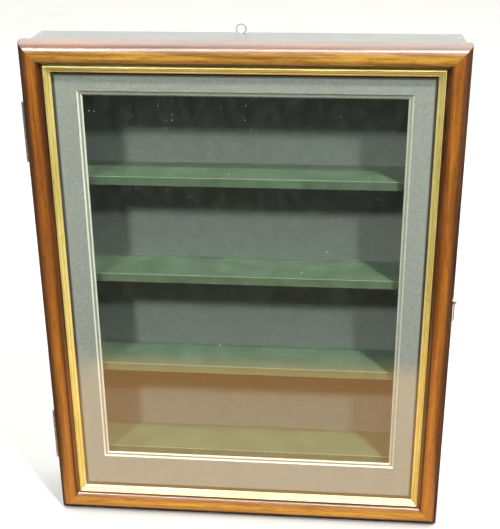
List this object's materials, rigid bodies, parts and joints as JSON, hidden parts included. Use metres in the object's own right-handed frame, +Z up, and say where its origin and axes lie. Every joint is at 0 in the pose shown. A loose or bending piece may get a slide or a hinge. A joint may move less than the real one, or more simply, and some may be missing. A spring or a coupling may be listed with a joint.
{
  "type": "glazed wall display case",
  "caption": "Shallow glazed wall display case with a hinged picture-frame door, a bevelled double mat, green shelves and a hanging ring.",
  "frame": {"origin": "middle of the underside of the case, without the door", "axes": "+Z up, +Y towards the wall, the glazed door faces -Y, hinges on the -X side"},
  "size_m": [0.4366, 0.0841, 0.5419],
  "materials": {
    "painted_case": "dark green satin paint",
    "painted_shelf": "dark green satin paint",
    "hardboard": "bare hardboard",
    "lining_card": "grey-green textured card",
    "moulding_wood": "red-brown stained wood, gloss varnish",
    "gilt_wood": "gilded",
    "glass": "clear",
    "mat_card": "grey-green speckled mat board with a cream core",
    "strip_wood": "bare pine",
    "hinge_brass": "dull",
    "screw_brass": "dull",
    "hook_brass": "polished",
    "steel": "zinc plated"
  },
  "bodies": {
    "case": {"case_top": "painted_case", "case_bottom": "painted_case", "case_left_side": "painted_case", "case_right_side": "painted_case", "back_panel": "hardboard", "back_lining": "lining_card", "shelf_upper": "painted_shelf", "shelf_middle": "painted_shelf", "shelf_lower": "painted_shelf", "display_floor": "painted_shelf", "case_pins": "steel", "back_pins": "steel", "hanger_strap": "steel", "hanger_screws": "steel", "hinge_upper_case_leaf": "hinge_brass", "hinge_lower_case_leaf": "hinge_brass", "hinge_upper_pin": "hinge_brass", "hinge_lower_pin": "hinge_brass", "hinge_case_screws": "screw_brass", "catch_stud": "screw_brass"},
    "door": {"door_top_rail": "moulding_wood", "door_bottom_rail": "moulding_wood", "door_left_stile": "moulding_wood", "door_right_stile": "moulding_wood", "slip_top": "gilt_wood", "slip_bottom": "gilt_wood", "slip_left": "gilt_wood", "slip_right": "gilt_wood", "glass_pane": "glass", "outer_mat": "mat_card", "inner_mat": "mat_card", "strip_top": "strip_wood", "strip_bottom": "strip_wood", "strip_left": "strip_wood", "strip_right": "strip_wood", "strip_pins": "steel", "corner_nails": "steel", "hinge_upper_door_leaf": "hinge_brass", "hinge_lower_door_leaf": "hinge_brass", "hinge_door_screws": "screw_brass", "catch_pivot": "screw_brass"},
    "hook": {"catch_hook": "hook_brass"}
  },
  "joints": [
    {"name": "door_hinge", "type": "hinge", "parent": "case", "child": "door", "pos_m": [-0.2184, -0.03105, 0.266], "axis": [0, 0, -1], "range_deg": [0, 175]},
    {"name": "hook_pivot", "type": "hinge", "parent": "door", "child": "hook", "pos_m": [0.2148, -0.043, 0.276], "axis": [-1, 0, 0], "range_deg": [0, 270]}
  ]
}
